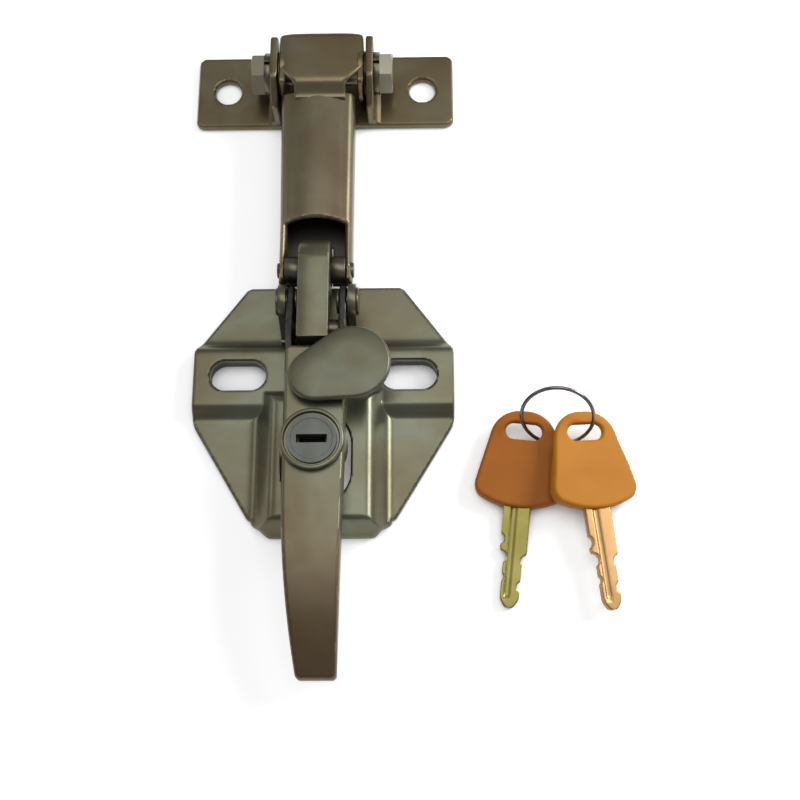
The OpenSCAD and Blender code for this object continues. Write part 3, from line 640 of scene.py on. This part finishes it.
# %% [markdown]
# The arm's head is a strip bent over the bolt, wider than the channel, with a cheek plate on each
# side that the bolt goes through. The strip's path is a function of the length along it, so the
# same tool trims it flat and then bends it.

# %% arm head
CAP_HALF, CAP_FIRST, CAP_LONG, CAP_DROOP = 14.1, 94.0, 124.0, 0.8
STEP_LOW, STEP_RISE, STEP_AT, STEP_RUN = 19.3, 3.2, 95.2, 3.6
CAP_FLAT, CAP_BEND = 116.0, 2.4
NECK_MID, NECK_HALF, NECK_LAST = -0.4, 8.6, 98.6


def cap_path(t):
    """Side path of the cap: a step up from the web, a flat top, a tight bend and a short back."""
    a = np.clip((t - CAP_FLAT) / CAP_BEND, 0, math.pi / 2)
    down = CAP_BEND * (1 - np.cos(a)) + np.maximum(t - CAP_FLAT - CAP_BEND * math.pi / 2, 0)
    z = STEP_LOW + STEP_RISE * ramp(t - STEP_AT, STEP_RUN, 0.5) - down
    return np.minimum(t, CAP_FLAT) + CAP_BEND * np.sin(a), z, a


def cap_shape(x, t, h):
    """Lays the strip on its path, with both long edges drooping by the sixth power of x."""
    y, z, a = cap_path(t)
    lift = h - CAP_DROOP * np.clip(np.abs(x) / CAP_HALF, 0, 1) ** 6
    return LINE + x, y + lift * np.sin(a), z + lift * np.cos(a)


def cap_region(x, t):
    """Head plan: full width, cut at forty-five degrees toward the neck."""
    full = block(x, t, -CAP_HALF, CAP_HALF, CAP_FIRST, CAP_LONG, 0.8)
    neck = (np.abs(x - NECK_MID) - np.maximum(t - NECK_LAST, 0) - NECK_HALF) * 0.75
    return np.maximum(full, neck)


sheet("arm_cap", cap_region, (-14.5, 14.5, 93.6, 124.5), 0.4, cap_shape, level(0), level(-ARM_T),
      0.6, "arm", "pull_arm", brown_zinc)

# %% arm cheeks
CHEEK_IN, CHEEK_R, BOLT_HOLE = 12.1, 9.4, 4.05
CHEEK_PLATE = (98.6, 117.2, 10.5, 21.9, 1.4)


def cheek_region(y, z):
    """Side of the head: a disc about the bolt run into a plate, less the bolt's hole."""
    solid = np.minimum(block(y, z, *CHEEK_PLATE), circle(y, z, *BOLT, CHEEK_R))
    return np.maximum(solid, -circle(y, z, *BOLT, BOLT_HOLE))


for side, word in SIDES:
    sheet(f"arm_cheek_{word}", cheek_region, (98, 118, 3, 23), 0.4, upright(side, CHEEK_IN),
          level(ARM_T), level(0), 0.4, "arm", "pull_arm", brown_zinc)

# %% [markdown]
# The arm's back closes the channel from below. Only a dark strip of it shows, past the strap, so a
# flat plate with a notch is enough. Its near-black tint is painted shade.

# %% arm back
BACK_HALF, BACK_FIRST, BACK_LAST, BACK_TOP, BACK_LOW = 11.6, 30.5, 90.8, 7.6, 6.1
NOTCH_HALF, NOTCH_LAST = 5.05, 44.0


def back_region(x, y):
    """The closed back, with a notch in which the strap turns."""
    notch = block(x, y, -NOTCH_HALF, NOTCH_HALF, 0, NOTCH_LAST)
    return np.maximum(block(x, y, -BACK_HALF, BACK_HALF, BACK_FIRST, BACK_LAST, 0.5), -notch)


sheet("arm_back", back_region, (-12, 12, 30, 91.5), 0.5, lambda x, y, h: (ARM + x, y, h),
      level(BACK_TOP), level(BACK_LOW), 0.4, "arm", "pull_arm", shade_zinc)

# %% [markdown]
# Keeper: a flat base with a hole in each ear, and two lugs that stand up and hold the bolt.
# A lug's foot flares outward on a small radius, as sheet does where it is folded up. One bent blank
# could make all three, but the lugs end in corners that are easier to draw from the side.

# %% keeper base
KEEPER_T, KEEPER_HALF, KEEPER_FIRST, KEEPER_LAST = 2.5, 44.7, 93.4, 121.4
EAR_OUT, EAR_R = 34.0, 4.5


def keeper_region(x, y):
    """The base with round corners, less the two screw holes in line with the bolt."""
    base = block(x, y, -KEEPER_HALF, KEEPER_HALF, KEEPER_FIRST, KEEPER_LAST, 2.5)
    return np.maximum(base, -circle(np.abs(x), y, EAR_OUT, BOLT[0], EAR_R))


sheet("keeper_base", keeper_region, (-45.2, 45.2, 93, 122), 0.5, on_line, level(KEEPER_T), level(0),
      0.8, "keeper", "keeper_bracket", brown_zinc)

# %% keeper lugs
LUG = [(93.9, 0.3), (118.4, 0.3), (118.2, 18.6), (116.8, 21.6), (101.4, 21.6), (93.9, 14)]
LUG_IN, FLARE_R, FLARE_TOP = 14.9, 2.7, 5.2


def lug_region(y, z):
    """A plate with its upper corners cut off, less the bolt's hole."""
    return np.maximum(convex(y, z, LUG, 0.8), -circle(y, z, *BOLT, BOLT_HOLE))


def lug_shape(side):
    """Stands the plate up; near its foot the outer face flares by a quarter circle."""

    def bend(y, z, h):
        low = np.clip(FLARE_TOP - z, 0, FLARE_R)
        flare = FLARE_R - np.sqrt(FLARE_R**2 - low**2)
        return LINE + side * (LUG_IN + h + flare * h / KEEPER_T), y, z

    return bend


for side, word in SIDES:
    sheet(f"keeper_lug_{word}", lug_region, (93.5, 119, 0, 22.2), 0.45, lug_shape(side),
          level(KEEPER_T), level(0), 0.5, "keeper", "keeper_bracket", brown_zinc)

# %% [markdown]
# Bolt and nut: hexagons whose corners are cut by a cone, which leaves the curved edges that real
# heads show. A six-sided cylinder with a bevel would have straight edges there, so each is a turned
# profile held within six flats.

# %% bolt and nut
FLATS, FLATS_SPIN, SEAT = 6.5, math.radians(-25.6), 19.6
SHANK = [(4, -22.2), (4, 23.2), (3.5, 23.7)]
HEAD = [(8, 0), (8, 4.4), (6.2, 4.4), (5.8, 4.3)]
NUT = [(4.05, 0), (8, 0), (8, 4.4), (6.2, 4.4), (5.0, 4.4), (4.05, 3.8)]


def outward(side, near):
    """Turns a piece's height into a distance outward along x from near, and spins its flats."""
    c, s = math.cos(FLATS_SPIN), math.sin(FLATS_SPIN)
    return lambda a, b, h: (LINE + side * (near + h), BOLT[0] + a * c - b * s, BOLT[1] + a * s + b * c)


turned("bolt_shank", SHANK, outward(1, 0), "keeper", "keeper_bolt", bolt_zinc)
turned("bolt_head", HEAD, outward(-1, SEAT), "keeper", "keeper_bolt", shaded_head_zinc, FLATS)
turned("nut_body", NUT, outward(1, SEAT), "keeper", "keeper_nut", bolt_zinc, FLATS, closed=True)

# %% [markdown]
# The keys lie on the panel beside the latch, and the second one leans on the first. Each key is drawn
# flat, in a plane of its own, and a rigid move then lays it down. Turning the object would do the
# same, but moving the points keeps the object at the origin, so that its finish doesn't slide.

# %% where the keys lie
KEY_MID, KEY_DROP = 2.5, 1.35


def turn_about(axis, degrees, point):
    """Turns about an axis through a point: the point to the origin, the turn, and back."""
    there = Matrix.Translation(point)
    return there @ Matrix.Rotation(math.radians(degrees), 4, axis) @ there.inverted()


def laid(x, y, degrees):
    """Turns a key about the vertical, moves it to (x, y) and lets it down onto the panel."""
    return Matrix.Translation((x, y, -KEY_DROP)) @ Matrix.Rotation(math.radians(degrees), 4, "Z")


RISE = turn_about("X", 3.4, (0, -30, 0))
KEY_1 = laid(60.95, -44.75, -6.5) @ RISE
KEY_2 = laid(83.8, -46.35, 7.5) @ turn_about("Y", 15, (14, 0, 0)) @ RISE


def placed(matrix):
    """Applies a rigid move to whole arrays, whose heights count from the key's middle plane."""
    m = np.array(matrix)
    return lambda x, y, h: [m[k, 0] * x + m[k, 1] * y + m[k, 2] * (h + KEY_MID) + m[k, 3] for k in range(3)]


print("keys at", [[round(c, 1) for c in key.translation] for key in (KEY_1, KEY_2)])

# %% [markdown]
# Key heads: plastic moulded round the blade, a bell in outline, with soft edges, a thin end with a
# slot for the ring, and a shallow dish where a thumb sits. Subdividing a low cage would also give
# soft edges, but its outline would only come near the bell.

# %% key heads
HEAD_R, HEAD_Y, HEAD_FLAT = 9.5, 23.0, 1.0
SIDE_LEAN = math.radians(12.06)
BELL = [(16.8, -5.5),
        (HEAD_FLAT + HEAD_R * math.cos(SIDE_LEAN), HEAD_Y + HEAD_R * math.sin(SIDE_LEAN)),
        (HEAD_FLAT, HEAD_Y + HEAD_R)]
FOOT_Y, FOOT_R, FOOT_CORNER = 27.0, 26.0, 3.2
RING_SLOT = (-5.75, 5.75, 23.1, 28.3, 2.59)
DISH_DEEP, DISH_Y, HEAD_THINS, THIN_FROM, THIN_RUN = 0.3, 11.0, 1.2, 15.0, 7.0


def key_region(x, y):
    """Bell-shaped head: a round top run into straight sides, an arched foot, less the ring's slot."""
    top = circle(np.maximum(np.abs(x) - HEAD_FLAT, 0), y, 0, HEAD_Y, HEAD_R)
    bell = np.minimum(top, convex(x, y, BELL + [(-px, py) for px, py in BELL[::-1]]))
    head = overlap(bell, circle(x, y, 0, FOOT_Y, FOOT_R), FOOT_CORNER)
    return np.maximum(head, -block(x, y, *RING_SLOT))


def key_half(x, y):
    """Half thickness: a bell-curve dish in the middle, and a ramp down toward the slotted end."""
    dish = DISH_DEEP * np.exp(-((x / 6) ** 2) - ((y - DISH_Y) / 5) ** 2)
    return KEY_MID - dish - HEAD_THINS * ramp(y - THIN_FROM, THIN_RUN, 0.8)


for number, where, plastic in ((1, KEY_1, orange_shaded), (2, KEY_2, orange)):
    sheet(f"key_head_{number}_moulding", key_region, (-14.5, 14.5, 0.7, 33), 0.35, placed(where), key_half,
          lambda x, y: -key_half(x, y), 1.1, "keys", f"key_head_{number}", plastic)

# %% [markdown]
# Blades: a neck and a stem with round bites along both edges, as a key cutter leaves them, and a
# milled groove down each face. The groove is real depth, because it is what tells a key from a strip.

# %% key blades
NECK = [(-4.2, 6), (-4.2, -12), (-2.9, -14.2), (2.9, -14.8), (4.2, -13), (4.2, 6)]
STEM = [(-2.9, 0), (-2.9, -27.5), (-1.2, -30), (1.2, -30), (2.9, -27.5), (2.9, 0)]
BITES = [(-5.0, -9.0, 1.9), (-3.9, -14.6, 2.0), (-3.7, -20.8, 1.4), (4.4, -15.4, 1.9), (3.7, -23.4, 1.8)]
BLADE_HALF, GROOVE_DEEP, GROOVE_MID, GROOVE_HALF, GROOVE_END = 1.1, 0.5, -0.9, 0.55, -27.5


def blade_region(x, y):
    """A wide neck and a narrow stem with a bevelled tip, less the cutter's round bites."""
    bitten = np.min([circle(x, y, *bite) for bite in BITES], axis=0)
    return np.maximum(np.minimum(convex(x, y, NECK, 0.3), convex(x, y, STEM, 0.6)), -bitten)


def blade_half(x, y):
    """Half thickness, less a groove with steep walls that runs out before the tip."""
    across = 1 - ramp(np.abs(x - GROOVE_MID) - GROOVE_HALF, 0.5, 0.08)
    return BLADE_HALF - GROOVE_DEEP * across * ramp(y - GROOVE_END, 1.5, 0.2)


for number, where, metal in ((1, KEY_1, brass), (2, KEY_2, copper)):
    sheet(f"key_blade_{number}_milled", blade_region, (-4.5, 4.5, -30.4, 6.4), 0.2, placed(where), blade_half,
          lambda x, y: -blade_half(x, y), 0.2, "keys", f"key_blade_{number}", metal)

# %% [markdown]
# The other pieces stay as the solids made them: pins, washers and the lock are simple rounds and
# prisms. Modifiers weld their triangles and round their edges a little so that they catch light.

# %% finish the solids
PAINT = {"pin_steel": pin_zinc, "zinc_plate": zinc, "lock_metal": lock_grey, "dark_steel": dark,
         "wafer_brass": wafer, "bolt_zinc": bolt_zinc, "key_plastic": orange, "key_brass": brass,
         "ring_steel": wire}
WELD_GAP, SOFT_EDGE = 0.00001, 0.00025
for part in frame["record"]["subparts"]:
    obj = nodes[part["node"]]
    obj.data.materials.clear()
    obj.data.materials.append(PAINT[part["material_slot"]])
    if obj.hide_render:
        continue
    weld = obj.modifiers.new("weld", "WELD")
    weld.merge_threshold = WELD_GAP
    # the ring's thin wire is round already
    if part["node"] == "key_ring":
        continue
    flats = obj.modifiers.new("flats", "DECIMATE")
    flats.decimate_type = "DISSOLVE"
    flats.angle_limit = math.radians(1)
    soft = obj.modifiers.new("soft edges", "BEVEL")
    soft.width = SOFT_EDGE
    soft.segments = 2
    soft.limit_method = "ANGLE"
    soft.angle_limit = math.radians(40)
    soft.harden_normals = True
print("solids shown:", sum(not o.hide_render for o in nodes.values()))

# %% [markdown]
# The camera stands above the panel and a little toward the handle's side, so that every moving piece
# shows. Its place is a matrix of three directions and a point, which says more plainly than three
# angles where the top of the picture is.

# %% camera
RIGHT = np.array([0.9998, -0.00092, -0.01988])
UP = np.array([0.00747, 0.94319, 0.33216])
EYE = np.array([32.35, -147.17, 398.32])


def frame_of(x, y, z, point):
    """A matrix whose columns are three directions and a place."""
    m = np.eye(4)
    m[:3, 0], m[:3, 1], m[:3, 2], m[:3, 3] = x, y, z, point
    return Matrix(m.tolist())


camera = bpy.data.cameras.new("camera")
camera.sensor_width = 36
camera.lens = 58.79
camera.clip_start = 0.01
eye = bpy.data.objects.new("camera", camera)
scene.collection.objects.link(eye)
eye.matrix_world = frame_of(RIGHT, UP, np.cross(RIGHT, UP), (EYE + HOME) * MM)
scene.camera = eye
print("camera at", [round(c, 3) for c in eye.matrix_world.translation])

# %% [markdown]
# Light: a broad soft lamp overhead, a stronger one at the right that draws the bright edges, and a
# weak one at the left. A dim grey world fills the shadows.

# %% light
scene.view_settings.view_transform = "Standard"
world = bpy.data.worlds.new("studio")
scene.world = world
world.use_nodes = True
sky = world.node_tree.nodes["Background"]
sky.inputs["Color"].default_value = (0.60, 0.61, 0.62, 1)
sky.inputs["Strength"].default_value = 0.5


def panel(name, spot, size, power):
    """A square area lamp at spot, facing the origin, in metres and watts."""
    lamp = bpy.data.lights.new(name, "AREA")
    lamp.size = size
    lamp.energy = power
    obj = bpy.data.objects.new(name, lamp)
    scene.collection.objects.link(obj)
    z = np.array(spot, float) / np.linalg.norm(spot)
    x = np.cross([0, 1, 0.001], z)
    x /= np.linalg.norm(x)
    obj.matrix_world = frame_of(x, np.cross(z, x), z, spot)
    print(name, "lamp", power, "W")


panel("top", (0.05, 0.13, 0.9), 0.65, 2.8)
panel("right", (0.72, 0.28, 0.46), 0.4, 6.0)
panel("left", (-0.7, 0.2, 0.5), 0.4, 0.8)

# %% [markdown]
# Floor: white paper. Camera, glossy and transmitted rays see some glow added, so that it reads white,
# while other rays see ordinary pale paper, so it still takes the shadow. The glow fades where the
# latch closes the paper in, found by an occlusion test, which keeps gaps and openings dark: that
# darkening is painted shade.

# %% floor
PAPER, GLOW = (0.80, 0.80, 0.80, 1), 0.45
CLOSED_REACH, CLOSED_FROM, CLOSED_TO = 0.012, 0.25, 0.60
bpy.ops.mesh.primitive_plane_add(size=6, location=(0, 0, -0.0002))
floor = bpy.context.object
floor.name = "floor"
paper = bpy.data.materials.new("paper")
paper.use_nodes = True
tree = paper.node_tree
sheet_shader = tree.nodes["Principled BSDF"]
sheet_shader.inputs["Base Color"].default_value = PAPER
sheet_shader.inputs["Roughness"].default_value = 0.9
sheet_shader.inputs["Specular IOR Level"].default_value = 0.0
sheet_shader.inputs["Emission Color"].default_value = (1, 1, 1, 1)


def combined(operation, first, second):
    """A Math node that joins two sockets, or a socket and a number."""
    node = tree.nodes.new("ShaderNodeMath")
    node.operation = operation
    tree.links.new(first, node.inputs[0])
    if isinstance(second, float):
        node.inputs[1].default_value = second
    else:
        tree.links.new(second, node.inputs[1])
    return node.outputs[0]


rays = tree.nodes.new("ShaderNodeLightPath").outputs
seen = combined("MAXIMUM", rays["Is Camera Ray"], rays["Is Glossy Ray"])
seen = combined("MAXIMUM", seen, rays["Is Transmission Ray"])
# the occlusion fade paints shade into gaps and onto the paper under the latch
closed_in = tree.nodes.new("ShaderNodeAmbientOcclusion")
closed_in.samples = 8
closed_in.inputs["Distance"].default_value = CLOSED_REACH
fade = tree.nodes.new("ShaderNodeMapRange")
fade.inputs["From Min"].default_value = CLOSED_FROM
fade.inputs["From Max"].default_value = CLOSED_TO
tree.links.new(closed_in.outputs["AO"], fade.inputs["Value"])
glow = combined("MULTIPLY", combined("MULTIPLY", seen, GLOW), fade.outputs["Result"])
tree.links.new(glow, sheet_shader.inputs["Emission Strength"])
floor.data.materials.append(paper)

# %% finish
print("finished")
